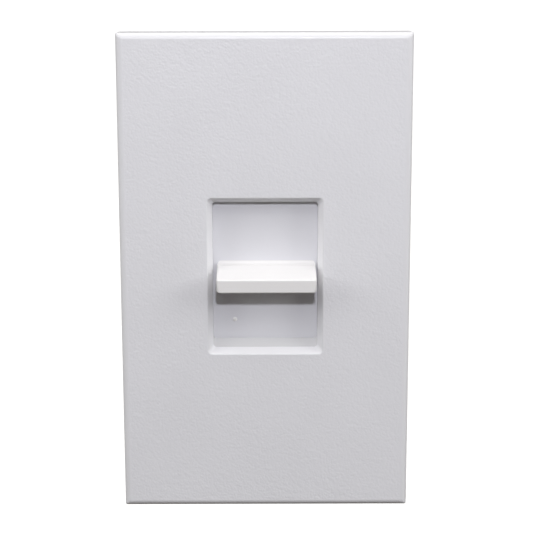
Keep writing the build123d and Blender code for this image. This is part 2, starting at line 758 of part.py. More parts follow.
def slide_carriage():
    """The block that runs on the guide rods, with the cam that works the air gap switch."""
    half_w = CARRIAGE_W / 2
    half_h = CARRIAGE_H / 2
    carriage = block(-half_w, half_w, CARRIAGE_FRONT, CARRIAGE_BACK, -half_h, half_h)
    carriage = fillet(carriage.edges().filter_by(Axis.Y), 0.6)
    cam = [(-12.0, -3.9), (-15.0, -3.9), (-15.9, -3.0), (-15.9, -2.0), (-12.0, 0.0)]
    carriage = carriage + prism_y(cam, CAM_FRONT, CAM_FRONT + CAM_T)
    holes = [rod_z(ROD_R + ROD_GAP, x, ROD_Y, -THROUGH, THROUGH) for x in (-ROD_X, ROD_X)]
    for x in (-LEG_X, LEG_X):
        holes.append(punch_y(x - LEG_W / 2, x + LEG_W / 2, -LEG_H / 2, LEG_H / 2))
    return cut_all(carriage, holes)


def wiper_contact():
    """A spring plate on the back of the carriage with one bent finger on each track."""
    half_w = TRACK_X + FINGER_W
    y = CARRIAGE_BACK
    plate = block(-half_w, half_w, y, y + 0.25, 2.4, 3.8)
    lower_side = [(y, 3.4), (y + 0.25, 3.4), (y + 1.2, WIPER_Z), (y + 1.0, -3.4)]
    upper_side = [(y + 0.8, -3.4), (y + 0.9, WIPER_Z), (y, 2.8)]
    for x in (-TRACK_X, TRACK_X):
        x0 = x - FINGER_W / 2
        x1 = x0 + FINGER_W
        plate = plate + prism_x(lower_side + upper_side, x0, x1)
        plate = plate + rod_x(0.3, y + 1.25, WIPER_Z, x0, x1)
    return plate


def friction_spring():
    """A bowed leaf on the front of the carriage that steadies it against the strap."""
    front = [(1.75, -3.4), (1.75, -2.4), (0.9, -0.8), (0.9, 0.8), (1.75, 2.4), (1.75, 3.4)]
    back = [(2.0, 3.4), (2.0, 2.3), (1.15, 0.7), (1.15, -0.7), (2.0, -2.3), (2.0, -3.4)]
    return prism_x(front + back, FRICTION_X - FRICTION_W / 2, FRICTION_X + FRICTION_W / 2)


def triac_body():
    low = TRIAC_Z - TRIAC_H / 2
    body = block(
        TRIAC_BODY_LEFT, TRIAC_BODY_RIGHT, TRIAC_FRONT, TRIAC_BACK, low, low + TRIAC_H,
    )
    body = chamfer(body.faces().sort_by(Axis.Y)[-1].edges(), 0.6)
    return body - block(
        TRIAC_TAB_LEFT, TRIAC_TAB_RIGHT, -THROUGH, TRIAC_TAB_BACK, -THROUGH, THROUGH,
    )


def triac_tab():
    low = TRIAC_Z - TRIAC_H / 2
    tab = block(
        TRIAC_TAB_LEFT, TRIAC_TAB_RIGHT, TRIAC_FRONT, TRIAC_TAB_BACK, low, low + TRIAC_H,
    )
    return tab - drill_y(RIVET_HOLE_R, RIVET_X, TRIAC_Z)


def lead_places():
    """The heights of the triac's three leads."""
    return [TRIAC_Z + step * TRIAC_LEAD_PITCH for step in (-1, 0, 1)]


def triac_leads():
    leads = []
    y1 = TRIAC_LEAD_Y + TRIAC_LEAD_T
    x1 = TRIAC_LEAD_X + TRIAC_LEAD_T / 2
    for z in lead_places():
        low = z - TRIAC_LEAD_W / 2
        high = low + TRIAC_LEAD_W
        along = block(TRIAC_BODY_RIGHT, x1, TRIAC_LEAD_Y, y1, low, high)
        down = block(x1 - TRIAC_LEAD_T, x1, TRIAC_LEAD_Y, BOARD_BACK + PIN_PROUD, low, high)
        leads.append(along + down)
    return Compound(children=leads)


def triac_insulator():
    half_h = TRIAC_H / 2 + FILM_EDGE
    film = block(
        TRIAC_TAB_LEFT - 2 * FILM_EDGE, TRIAC_BODY_RIGHT + 2 * FILM_EDGE, 0, TRIAC_FRONT,
        TRIAC_Z - half_h, TRIAC_Z + half_h,
    )
    return film - drill_y(RIVET_HOLE_R, RIVET_X, TRIAC_Z)


def triac_rivet():
    head = rod_y(RIVET_HEAD_R, RIVET_X, TRIAC_Z, STRAP_FRONT - RIVET_HEAD_T, STRAP_FRONT)
    head = fillet(head.faces().sort_by(Axis.Y)[0].edges(), RIVET_HEAD_T / 2)
    shank = rod_y(RIVET_R, RIVET_X, TRIAC_Z, STRAP_FRONT - RIVET_HEAD_T / 2, RIVET_END)
    rolled = rod_y(RIVET_ROLL_R, RIVET_X, TRIAC_Z, TRIAC_TAB_BACK, RIVET_END)
    return head + shank + rolled


def choke_core():
    y0 = BOARD_BACK + CHOKE_FRONT
    y1 = BOARD_BACK + CHOKE_BACK
    core = rod_y(CHOKE_OUTER_R, CHOKE_X, CHOKE_Z, y0, y1) - drill_y(CHOKE_INNER_R, CHOKE_X, CHOKE_Z)
    return fillet(core.edges().filter_by(GeomType.CIRCLE), 0.8)


def choke_winding():
    """Separate turns of enamelled wire round the core, with a gap where the ends leave."""
    x0 = CHOKE_INNER_R - WIRE_GAP
    x1 = CHOKE_OUTER_R + WIRE_GAP
    y0 = BOARD_BACK + CHOKE_FRONT - WIRE_GAP
    y1 = BOARD_BACK + CHOKE_BACK + WIRE_GAP
    half = WIRE_W / 2
    t = WIRE_T
    turns = []
    for turn in range(CHOKE_TURNS):
        loop = block(x0 - t, x1 + t, y0 - t, y1 + t, -half, half)
        loop = fillet(loop.edges().filter_by(Axis.Z), 0.8)
        loop = loop - block(x0, x1, y0, y1, -THROUGH, THROUGH)
        angle = CHOKE_START + CHOKE_STEP * turn
        turns.append(Pos(CHOKE_X, 0, CHOKE_Z) * Rot(0, angle, 0) * loop)
    return Compound(children=turns)


def filter_capacitor():
    can = block(-15.0, 3.0, BOARD_BACK, BOARD_BACK + FILTER_CAP_H, -26.5, -18.0)
    return fillet(can.edges().filter_by(Axis.Y), 0.8)


def timing_capacitors():
    caps = []
    left = -14.0
    back = BOARD_BACK + TIMING_CAP_H
    for low in (-13.5, -7.5):
        cap = block(left, left + TIMING_CAP_W, BOARD_BACK, back, low, low + TIMING_CAP_T)
        caps.append(fillet(cap.edges().filter_by(Axis.Y), 0.6))
    return Compound(children=caps)


def axial_part(x, z, radius, length):
    """A small part lying along X behind the board on its two bent leads."""
    y = BOARD_BACK + radius + AXIAL_STAND
    body = rod_x(radius, y, z, x - length / 2, x + length / 2)
    body = fillet(body.edges().filter_by(GeomType.CIRCLE), radius * 0.4)
    reach = length / 2 + AXIAL_REACH
    wire = rod_x(AXIAL_LEAD_R, y, z, x - reach, x + reach)
    for bend in (x - reach + AXIAL_LEAD_R, x + reach - AXIAL_LEAD_R):
        wire = wire + rod_y(AXIAL_LEAD_R, bend, z, BOARD_BACK, y)
    return body + wire


def resistors():
    radius = 1.15
    length = 6.3
    return Compound(children=[axial_part(AXIAL_X, z, radius, length) for z in (-13.5, -9.5, -5.5)])


def diac():
    return axial_part(AXIAL_X, z=27.5, radius=0.95, length=4.2)


def air_gap_arm():
    """The moving contact arm: a strip with an eye rolled round its pin and a bump near its tip."""
    y0 = ARM_PIN_Y - ARM_W / 2
    y1 = ARM_PIN_Y + ARM_W / 2
    arm = block(ARM_FACE_X - ARM_T, ARM_FACE_X, y0, y1, ARM_PIN_Z + ARM_PIN_R, ARM_TIP_Z)
    arm = arm + rod_y(ARM_PIN_R + ARM_EYE_T, ARM_PIN_X, ARM_PIN_Z, y0, y1)
    bump = [
        (ARM_FACE_X - ARM_T / 2, -17.4),
        (ARM_FACE_X + BUMP_H, -16.6),
        (ARM_FACE_X + BUMP_H, -15.8),
        (ARM_FACE_X - ARM_T / 2, -15.0),
    ]
    return arm + prism_y(bump, y0, y1) - drill_y(ARM_PIN_R + ROD_GAP, ARM_PIN_X, ARM_PIN_Z)


def moving_contact():
    return rod_x(CONTACT_R, ARM_PIN_Y, CONTACT_Z, ARM_FACE_X, ARM_FACE_X + CONTACT_T)


def fixed_contact():
    x_face = ARM_FACE_X + CONTACT_T + CONTACT_GAP
    return rod_x(CONTACT_R, ARM_PIN_Y, CONTACT_Z, x_face, x_face + FIXED_CONTACT_T)


def contact_post():
    """The brass post that carries the fixed contact up from the board."""
    x0 = ARM_FACE_X + CONTACT_T + CONTACT_GAP + FIXED_CONTACT_T
    low = CONTACT_Z - POST_W / 2
    return block(x0, x0 + POST_T, POST_FRONT, BOARD_Y, low, low + POST_W)


def bracket_ears():
    """The front of each of the two ears that the arm's pin goes through."""
    half_room = ARM_W / 2 + BRACKET_CLEAR
    return ARM_PIN_Y - half_room - BRACKET_EAR_T, ARM_PIN_Y + half_room


def arm_bracket():
    """The U-shaped bracket that holds the arm's pin, standing on the board."""
    x0 = ARM_PIN_X - 1.2
    x1 = ARM_PIN_X + 1.4
    low = ARM_PIN_Z - 2.2
    ears = bracket_ears()
    bracket = block(x0, x1, ears[0], BOARD_Y, low, low + BRACKET_WEB_T)
    for y0 in ears:
        bracket = bracket + block(x0, x1, y0, y0 + BRACKET_EAR_T, low, ARM_PIN_Z + 1.2)
    return bracket - drill_y(ARM_PIN_R, ARM_PIN_X, ARM_PIN_Z)


def arm_pin():
    front, back = bracket_ears()
    end = BRACKET_EAR_T / 4
    return rod_y(ARM_PIN_R, ARM_PIN_X, ARM_PIN_Z, front - end, back + BRACKET_EAR_T + end)


NODES = {
    "face_plate": face_plate,
    "adapter_frame": adapter_frame,
    "adapter_screws": adapter_screws,
    "mounting_strap": mounting_strap,
    "rear_housing": rear_housing,
    "housing_screws": housing_screws,
    "terminal_plates": terminal_plates,
    "terminal_screws": terminal_screws,
    "ground_screw": ground_screw,
    "circuit_board": circuit_board,
    "slide_base": slide_base,
    "guide_rods": guide_rods,
    "resistive_track": lambda: track_strip(-TRACK_X),
    "collector_track": lambda: track_strip(TRACK_X),
    "track_pins": track_pins,
    "slide_knob": slide_knob,
    "slide_carriage": slide_carriage,
    "wiper_contact": wiper_contact,
    "friction_spring": friction_spring,
    "triac_body": triac_body,
    "triac_tab": triac_tab,
    "triac_leads": triac_leads,
    "triac_insulator": triac_insulator,
    "triac_rivet": triac_rivet,
    "choke_core": choke_core,
    "choke_winding": choke_winding,
    "filter_capacitor": filter_capacitor,
    "timing_capacitors": timing_capacitors,
    "resistors": resistors,
    "diac": diac,
    "air_gap_arm": air_gap_arm,
    "moving_contact": moving_contact,
    "fixed_contact": fixed_contact,
    "contact_post": contact_post,
    "arm_bracket": arm_bracket,
    "arm_pin": arm_pin,
}

os.makedirs("parts", exist_ok=True)
for name, make in NODES.items():
    export_step(make(), f"parts/{name}.step")
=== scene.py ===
"""Looks of a one-gang slide dimmer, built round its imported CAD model.

The frame's axes are kept: X to the right, Z up, Y into the wall, in metres.
"""
import json
import math

import bmesh
import bpy
from mathutils import Matrix, Vector


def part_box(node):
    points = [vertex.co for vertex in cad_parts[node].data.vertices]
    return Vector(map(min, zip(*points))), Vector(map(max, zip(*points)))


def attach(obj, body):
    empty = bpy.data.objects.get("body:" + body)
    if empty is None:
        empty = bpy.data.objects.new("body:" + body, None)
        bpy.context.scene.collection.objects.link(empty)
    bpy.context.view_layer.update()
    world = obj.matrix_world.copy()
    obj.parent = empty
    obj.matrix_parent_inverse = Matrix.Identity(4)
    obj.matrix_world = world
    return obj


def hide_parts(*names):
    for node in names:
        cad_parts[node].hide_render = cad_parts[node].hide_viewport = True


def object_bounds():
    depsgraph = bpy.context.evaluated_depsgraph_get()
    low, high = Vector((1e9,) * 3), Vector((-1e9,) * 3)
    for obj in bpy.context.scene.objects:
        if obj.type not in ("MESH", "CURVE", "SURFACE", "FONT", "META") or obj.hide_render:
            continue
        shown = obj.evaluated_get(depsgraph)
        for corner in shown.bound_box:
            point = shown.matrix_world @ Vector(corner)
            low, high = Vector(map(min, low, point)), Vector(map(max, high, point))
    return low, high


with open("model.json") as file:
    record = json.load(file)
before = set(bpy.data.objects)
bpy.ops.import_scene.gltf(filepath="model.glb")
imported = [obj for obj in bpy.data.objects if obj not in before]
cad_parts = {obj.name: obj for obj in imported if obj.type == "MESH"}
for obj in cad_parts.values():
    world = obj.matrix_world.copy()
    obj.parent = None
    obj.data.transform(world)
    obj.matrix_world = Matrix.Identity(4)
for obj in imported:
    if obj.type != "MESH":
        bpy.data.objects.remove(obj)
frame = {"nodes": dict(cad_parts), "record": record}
cad_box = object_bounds()

MM = 0.001

# Driving dimensions in millimetres, as in the CAD model
PLATE_WALL = 2.2
PLATE_CORNER_R = 0.4
PLATE_EDGE_R = 1.55
EDGE_BREAK = 0.15
OPENING_W = 25.4
OPENING_H = 35.9
OPENING_R = 0.8
MOUTH_INSET = 1.2
MOUTH_DEPTH = 2.3
MOUTH_R = 1.0
MOUTH_BLEND_R = 0.35
COLLAR_WALL = 1.6
SILL_H = 1.85
SILL_DEPTH = 1.75
SILL_ROUND = 0.25
RECESS = 4.4
SHUTTER_T = 0.8
SHUTTER_GAP = 0.3
KNOB_W = 23.8
KNOB_X = 0.3
KNOB_REACH = 10.0
KNOB_BOTTOM = -2.82
KNOB_FRONT_TOP = 0.48
KNOB_ROOT_TOP = 2.4
KNOB_EDGE_R = 0.35
KNOB_LOW_CORNER_R = 0.9
KNOB_PLAN_R = 0.12
KNOB_DRAFT = 0.2
KNOB_ROOT_R = 1.0
ROOT_END_R = 0.9
ROOT_END_DROP = 0.4
LEG_X = 3.6
LEG_W = 2.0
LEG_H = 4.4
PIP_X = -7.45
PIP_Z = -11.5
PIP_R = 0.6
PIP_SUNK = 0.2
LEDGE_X = 20.0
LEDGE_W = 9.0
LEDGE_DEPTH = (-3.4, -2.6)
LEDGE_REACH = 0.9
PRY_SLOT_W = 10.0
PRY_SLOT_H = 1.2
STRAP_SCREW_Z = 48.42
HOUSING_SCREW_X = 18.2
HOUSING_SCREW_Z = 31.2
TERMINAL_Y = 9.0
TERMINAL_Z = 20.0
GROUND_Y = 5.5
GROUND_Z = -41.6
BINDING_HEAD_R = 3.9
BINDING_HEAD_T = 1.8

plate_low, plate_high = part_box("face_plate")
knob_low, knob_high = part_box("slide_knob")
PLATE_W = (plate_high.x - plate_low.x) / MM
PLATE_H = (plate_high.z - plate_low.z) / MM
PLATE_FRONT = plate_low.y / MM
SHUTTER_FRONT = PLATE_FRONT + RECESS
COLLAR_END = SHUTTER_FRONT - SHUTTER_GAP


# ---------------------------------------------------------------- mesh helpers

def ring(x0, x1, z0, z1, radius, y, steps=8):
    """A rounded rectangle in the plane at y, in millimetres, as points in metres."""
    radius = max(radius, 0.02)
    centres = [
        (x1 - radius, z1 - radius, 0),
        (x0 + radius, z1 - radius, 90),
        (x0 + radius, z0 + radius, 180),
        (x1 - radius, z0 + radius, 270),
    ]
    points = []
    for cx, cz, start in centres:
        for step in range(steps + 1):
            turn = math.radians(start + 90.0 * step / steps)
            points.append(Vector((cx + radius * math.cos(turn), y, cz + radius * math.sin(turn))) * MM)
    return points


def centred_ring(width, height, radius, y):
    return ring(-width / 2, width / 2, -height / 2, height / 2, radius, y)


def loft(bm, rings, material_of=None, closed=False):
    """Quads between rings of equal length. material_of gives each band its material index."""
    loops = [[bm.verts.new(p) for p in points] for points in rings]
    bands = list(zip(loops, loops[1:]))
    if closed:
        bands.append((loops[-1], loops[0]))
    for index, (a, b) in enumerate(bands):
        for i in range(len(a)):
            j = (i + 1) % len(a)
            face = bm.faces.new((a[i], a[j], b[j], b[i]))
            face.material_index = material_of(index) if material_of else 0
    return loops


def rounded_block(bm, x0, x1, y0, y1, z0, z1, edge=0.2, segments=3):
    """A closed box with rounded edges, in millimetres."""
    made = bmesh.ops.create_cube(bm, size=1.0)["verts"]
    for vert in made:
        vert.co = Vector((
            x0 if vert.co.x < 0 else x1,
            y0 if vert.co.y < 0 else y1,
            z0 if vert.co.z < 0 else z1,
        )) * MM
    edges = list({e for v in made for e in v.link_edges})
    bmesh.ops.bevel(bm, geom=edges, offset=edge * MM, segments=segments, profile=0.5, affect="EDGES")


def mark_sharp(bm, degrees=35.0):
    limit = math.radians(degrees)
    for face in bm.faces:
        face.smooth = True
    for edge in bm.edges:
        edge.smooth = len(edge.link_faces) == 2 and edge.calc_face_angle() < limit


def to_object(name, bm, materials, sharp_degrees=35.0):
    """Turns a bmesh into a smooth object whose corners over sharp_degrees stay crisp."""
    bmesh.ops.recalc_face_normals(bm, faces=bm.faces)
    mark_sharp(bm, sharp_degrees)
    mesh = bpy.data.meshes.new(name)
    bm.to_mesh(mesh)
    bm.free()
    piece = bpy.data.objects.new(name, mesh)
    bpy.context.scene.collection.objects.link(piece)
    for material in materials:
        mesh.materials.append(material)
    return piece


def keep_modifiers(piece):
    """Turns the piece's modifiers into its own mesh."""
    evaluated = piece.evaluated_get(bpy.context.evaluated_depsgraph_get())
    mesh = bpy.data.meshes.new_from_object(evaluated)
    piece.modifiers.clear()
    piece.data = mesh


def combine(piece, operation, other):
    """Runs an exact boolean of piece with other, and removes other."""
    modifier = piece.modifiers.new("boolean", "BOOLEAN")
    modifier.operation = operation
    modifier.solver = "EXACT"
    modifier.object = other
    keep_modifiers(piece)
    bpy.data.objects.remove(other)


def even_shading(piece, sharp_degrees=35.0):
    """Keeps flat faces flat to the eye beside their rounded edges, after any boolean."""
    bm = bmesh.new()
    bm.from_mesh(piece.data)
    mark_sharp(bm, sharp_degrees)
    bm.to_mesh(piece.data)
    bm.free()
    modifier = piece.modifiers.new("even", "WEIGHTED_NORMAL")
    modifier.keep_sharp = True
    modifier.weight = 50
    keep_modifiers(piece)


# ------------------------------------------------------------------ materials

def node_material(name):
    material = bpy.data.materials.new(name)
    material.use_nodes = True
    tree = material.node_tree
    shader = tree.nodes["Principled BSDF"]
    coords = tree.nodes.new("ShaderNodeTexCoord")
    return material, tree, shader, coords


def noise(tree, coords, scale, detail=2.0, roughness=0.5, stretch=None):
    """A noise texture in object space. scale is in repeats per metre."""
    node = tree.nodes.new("ShaderNodeTexNoise")
    node.inputs["Scale"].default_value = scale
    node.inputs["Detail"].default_value = detail
    node.inputs["Roughness"].default_value = roughness
    source = coords.outputs["Object"]
    if stretch:
        mapping = tree.nodes.new("ShaderNodeMapping")
        mapping.inputs["Scale"].default_value = stretch
        tree.links.new(source, mapping.inputs["Vector"])
        source = mapping.outputs["Vector"]
    tree.links.new(source, node.inputs["Vector"])
    return node.outputs["Fac"]


def remap(tree, value, low, high, from_low=0.3, from_high=0.7):
    node = tree.nodes.new("ShaderNodeMapRange")
    node.inputs["From Min"].default_value = from_low
    node.inputs["From Max"].default_value = from_high
    node.inputs["To Min"].default_value = low
    node.inputs["To Max"].default_value = high
    tree.links.new(value, node.inputs["Value"])
    return node.outputs["Result"]


def blend_colours(tree, factor, colour_a, colour_b):
    node = tree.nodes.new("ShaderNodeMix")
    node.data_type = "RGBA"
    node.inputs["A"].default_value = (*colour_a, 1.0)
    node.inputs["B"].default_value = (*colour_b, 1.0)
    tree.links.new(factor, node.inputs["Factor"])
    return node.outputs["Result"]


def bump(tree, shader, height, depth_mm, strength=1.0, under=None):
    """Bump of depth_mm millimetres for a height of 0 to 1."""
    node = tree.nodes.new("ShaderNodeBump")
    node.inputs["Strength"].default_value = strength
    node.inputs["Distance"].default_value = depth_mm * MM
    tree.links.new(height, node.inputs["Height"])
    if under:
        tree.links.new(under, node.inputs["Normal"])
    tree.links.new(node.outputs["Normal"], shader.inputs["Normal"])
    return node.outputs["Normal"]


def tinted(colour, factor):
    return tuple(min(1.0, channel * factor) for channel in colour)


def moulded(
    name, colour, roughness=0.4, grain_mm=0.0, grain_scale=1500.0, mottle=0.03, specular=0.5, gloss_var=0.06,
):
    """Moulded plastic: a faint mottle, uneven gloss, and a fine grain when grain_mm isn't 0."""
    material, tree, shader, coords = node_material(name)
    soft = noise(tree, coords, 90.0, 3.0)
    colours = blend_colours(
        tree, remap(tree, soft, 0.0, 1.0), tinted(colour, 1.0 - mottle), tinted(colour, 1.0 + mottle / 2),
    )
    tree.links.new(colours, shader.inputs["Base Color"])
    fine = noise(tree, coords, 420.0, 3.0)
    gloss = remap(tree, fine, roughness - gloss_var, roughness + gloss_var)
    tree.links.new(gloss, shader.inputs["Roughness"])
    shader.inputs["Specular IOR Level"].default_value = specular
    flow = noise(tree, coords, 55.0, 1.0)
    normal = bump(tree, shader, flow, 0.02, 0.4)
    if grain_mm:
        grain = noise(tree, coords, grain_scale, 2.0, 0.55)
        bump(tree, shader, grain, grain_mm, 1.0, normal)
    return material


def pebbled(name, colour, roughness, cell_scale, depth_mm):
    """Moulded plastic with a fine pebbled skin: soft cells of uneven height."""
    material, tree, shader, coords = node_material(name)
    soft = noise(tree, coords, 60.0, 3.0)
    colours = blend_colours(tree, remap(tree, soft, 0.0, 1.0), tinted(colour, 0.985), tinted(colour, 1.01))
    tree.links.new(colours, shader.inputs["Base Color"])
    cells = tree.nodes.new("ShaderNodeTexVoronoi")
    cells.feature = "SMOOTH_F1"
    cells.inputs["Scale"].default_value = cell_scale
    cells.inputs["Smoothness"].default_value = 0.6
    tree.links.new(coords.outputs["Object"], cells.inputs["Vector"])
    cloud = noise(tree, coords, cell_scale * 0.55, 2.5, 0.6)
    mix = tree.nodes.new("ShaderNodeMath")
    mix.operation = "MULTIPLY_ADD"
    tree.links.new(cells.outputs["Distance"], mix.inputs[0])
    mix.inputs[1].default_value = -0.55
    tree.links.new(cloud, mix.inputs[2])
    rough = remap(tree, mix.outputs["Value"], roughness + 0.06, roughness - 0.04, 0.0, 0.6)
    tree.links.new(rough, shader.inputs["Roughness"])
    shader.inputs["Specular IOR Level"].default_value = 0.5
    bump(tree, shader, mix.outputs["Value"], depth_mm, 1.0)
    return material


def sheet_metal(name, colour, roughness=0.35, streak=(1.0, 1.0, 14.0), dull=0.12, grain_mm=0.004):
    """Rolled or plated metal: streaks along one way, uneven tarnish and fine scratches."""
    material, tree, shader, coords = node_material(name)
    streaks = noise(tree, coords, 300.0, 4.0, 0.6, (streak[2], streak[1], streak[0]))
    cloud = noise(tree, coords, 130.0, 3.0)
    colours = blend_colours(tree, remap(tree, cloud, 0.0, 1.0), tinted(colour, 1.0 - dull), colour)
    tree.links.new(colours, shader.inputs["Base Color"])
    shader.inputs["Metallic"].default_value = 1.0
    tree.links.new(remap(tree, streaks, roughness - 0.08, roughness + 0.1), shader.inputs["Roughness"])
    bump(tree, shader, streaks, grain_mm, 0.8)
    return material


def laminate(name, colour):
    """Board laminate: a faint weave and a slightly glossy lacquer."""
    material, tree, shader, coords = node_material(name)
    weave = tree.nodes.new("ShaderNodeTexWave")
    weave.inputs["Scale"].default_value = 900.0
    weave.inputs["Distortion"].default_value = 1.5
    tree.links.new(coords.outputs["Object"], weave.inputs["Vector"])
    cloud = noise(tree, coords, 240.0, 4.0)
    colours = blend_colours(tree, remap(tree, cloud, 0.0, 1.0), tinted(colour, 0.85), tinted(colour, 1.1))
    tree.links.new(colours, shader.inputs["Base Color"])
    tree.links.new(remap(tree, cloud, 0.34, 0.5), shader.inputs["Roughness"])
    bump(tree, shader, weave.outputs["Fac"], 0.006, 0.6)
    return material


def slot_materials():
    """One material for each of the record's slots that a CAD node keeps."""
    return {
        "adapter_white": moulded("adapter_plastic", (0.78, 0.78, 0.76), 0.48, 0.006, 2600.0),
        "strap_aluminium": sheet_metal("strap_sheet", (0.80, 0.81, 0.82), 0.36),
        "plated_steel": sheet_metal("zinc_plate", (0.74, 0.73, 0.69), 0.32, (1.0, 1.0, 3.0), 0.2),
        "green_steel": sheet_metal("green_plate", (0.10, 0.42, 0.20), 0.34, (1.0, 1.0, 3.0), 0.25),
        "housing_plastic": moulded("housing_thermoset", (0.045, 0.046, 0.05), 0.5, 0.012, 2200.0, 0.12),
        "black_plastic": moulded("black_moulding", (0.03, 0.03, 0.033), 0.42, 0.008, 2600.0, 0.15),
        "carriage_plastic": moulded("acetal", (0.78, 0.78, 0.74), 0.38, 0.004, 2600.0),
        "brass": sheet_metal("stamped_brass", (0.80, 0.58, 0.24), 0.3, (1.0, 1.0, 5.0), 0.2),
        "tinned_copper": sheet_metal("tinned", (0.78, 0.77, 0.75), 0.38, (1.0, 1.0, 2.0), 0.15),
        "board_laminate": laminate("board", (0.36, 0.23, 0.09)),
        "carbon_film": moulded("carbon_print", (0.02, 0.02, 0.021), 0.55, 0.006, 3200.0, 0.2),
        "silver_film": sheet_metal("silver_contact", (0.86, 0.85, 0.82), 0.28, (1.0, 1.0, 2.0), 0.18),
        "spring_bronze": sheet_metal("bronze_strip", (0.74, 0.46, 0.26), 0.3, (1.0, 1.0, 8.0), 0.18),
        "spring_steel": sheet_metal("steel_strip", (0.62, 0.62, 0.63), 0.28, (1.0, 1.0, 8.0), 0.12),
        "insulating_film": moulded("mica_film", (0.72, 0.62, 0.42), 0.22, 0.003, 1200.0, 0.1),
        "rivet_aluminium": sheet_metal("rivet", (0.80, 0.80, 0.81), 0.34, (1.0, 1.0, 2.0), 0.15),
        "ferrite": moulded("core_coating", (0.08, 0.20, 0.11), 0.46, 0.03, 900.0, 0.15),
        "enamelled_wire": moulded("wire_enamel", (0.48, 0.17, 0.04), 0.2, 0.003, 1500.0, 0.1, 0.7),
        "capacitor_yellow": moulded("film_capacitor", (0.72, 0.47, 0.05), 0.3, 0.006, 1500.0, 0.06),
        "capacitor_blue": moulded("dipped_capacitor", (0.05, 0.17, 0.42), 0.22, 0.02, 500.0, 0.08),
        "resistor_beige": moulded("resistor_lacquer", (0.62, 0.46, 0.26), 0.36, 0.015, 900.0, 0.08),
        "diode_blue": moulded("diac_lacquer", (0.06, 0.17, 0.40), 0.2, 0.004, 900.0, 0.08),
    }


def dress_cad_nodes(made):
    """Gives each CAD node that stays in view the material of its slot."""
    for row in frame["record"]["subparts"]:
        material = made.get(row["material_slot"])
        if material is None:
            continue
        mesh = frame["nodes"][row["node"]].data
        mesh.materials.clear()
        mesh.materials.append(material)


# ----------------------------------------------------------------- face plate

def plate_rings():
    """Rings of the plate's skin, from its rear rim round the front and in through the opening."""
    def outer(inset, y):
        return centred_ring(PLATE_W - 2 * inset, PLATE_H - 2 * inset, PLATE_CORNER_R, y)

    def opening(outset, y, sill=0.0):
        low = -OPENING_H / 2 - outset + sill
        half_w = OPENING_W / 2 + outset
        corner = OPENING_R + (MOUTH_R - OPENING_R) * min(outset / MOUTH_INSET, 1.0)
        return ring(-half_w, half_w, low, OPENING_H / 2 + outset, corner, y)

    rings = [outer(EDGE_BREAK, 0.0), outer(0.0, -EDGE_BREAK)]
    for step in range(11):
        turn = math.radians(9.0 * step)
        inset = PLATE_EDGE_R * (1 - math.cos(turn))
        rings.append(outer(inset, PLATE_FRONT + PLATE_EDGE_R * (1 - math.sin(turn))))
    face_band = len(rings) - 1
    slope = math.atan2(MOUTH_DEPTH, MOUTH_INSET)
    mouth_reach = MOUTH_BLEND_R * math.tan(slope / 2)
    for step in range(5):
        turn = slope * step / 4
        outset = MOUTH_INSET + mouth_reach - MOUTH_BLEND_R * math.sin(turn)
        rings.append(opening(outset, PLATE_FRONT + MOUTH_BLEND_R * (1 - math.cos(turn))))
    throat = PLATE_FRONT + MOUTH_DEPTH
    rings.append(opening(0.06, throat - 0.06 * MOUTH_DEPTH / MOUTH_INSET))
    rings.append(opening(0.015, throat - 0.01))
    sill_start = COLLAR_END - SILL_DEPTH
    sill_run = SILL_DEPTH - SILL_ROUND
    throat_band = len(rings)
    rings.append(opening(0.0, sill_start))
    for share in (0.06, 0.5, 0.9, 0.97):
        rings.append(opening(0.0, sill_start + sill_run * share, SILL_H * (share - 0.02)))
    rings.append(opening(0.0, COLLAR_END - SILL_ROUND * 0.6, SILL_H * 0.995))
    rings.append(opening(0.0, COLLAR_END, SILL_H))
    rings.append(opening(COLLAR_WALL, COLLAR_END))
    rings.append(opening(COLLAR_WALL, PLATE_FRONT + PLATE_WALL))
    inner_w = PLATE_W - 2 * PLATE_WALL
    inner_h = PLATE_H - 2 * PLATE_WALL
    rings.append(centred_ring(inner_w, inner_h, 1.0, PLATE_FRONT + PLATE_WALL))
    rings.append(centred_ring(inner_w, inner_h, 1.0, -EDGE_BREAK))
    rings.append(centred_ring(inner_w + 2 * EDGE_BREAK, inner_h + 2 * EDGE_BREAK, 1.1, 0.0))
    return rings, face_band, throat_band


def face_plate():
    textured = pebbled("plate_pebble", (0.84, 0.84, 0.86), 0.33, 1800.0, 0.06)
    # plate_inner_painted_shade is the face's own white made darker: painted shade on the throat, sill,
    # collar and the plate's inside, which are the same plastic as the face.
    inner = moulded("plate_inner_painted_shade", (0.66, 0.66, 0.665), 0.4, 0.002, 3000.0, 0.01)
    smooth = moulded("plate_smooth", (0.84, 0.84, 0.855), 0.36, 0.002, 3000.0, 0.01)
    bm = bmesh.new()
    rings, face_band, throat_band = plate_rings()

    # The front face band gets the pebbled skin and the rim and mouth the smooth white. Every band from the
    # throat inward gets the darkened white, which is painted shade.
    def finish_or_painted_shade(band):
        if band == face_band:
            return 0
        return 2 if band >= throat_band else 1

    loft(bm, rings, finish_or_painted_shade, closed=True)
    plate = to_object("face_plate_shell", bm, [textured, smooth, inner])
    ledges = bmesh.new()
    wall_in = PLATE_H / 2 - PLATE_WALL
    for side in (-1, 1):
        for x in (-LEDGE_X, LEDGE_X):
            z0, z1 = sorted((side * (wall_in - LEDGE_REACH), side * (wall_in + 0.3)))
            rounded_block(ledges, x - LEDGE_W / 2, x + LEDGE_W / 2, *LEDGE_DEPTH, z0, z1, 0.15)
    combine(plate, "UNION", to_object("ledges", ledges, [textured, smooth, inner]))
    slot = bmesh.new()
    rounded_block(
        slot, -PRY_SLOT_W / 2, PRY_SLOT_W / 2, -PRY_SLOT_H, 1.0,
        -PLATE_H / 2 - 1.0, -PLATE_H / 2 + PLATE_WALL + 0.5, 0.3,
    )
    combine(plate, "DIFFERENCE", to_object("pry_slot", slot, [textured, smooth, inner]))
    even_shading(plate)
    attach(plate, "dimmer_body")
    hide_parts("face_plate")
    return plate


# ----------------------------------------------------------------- slide knob

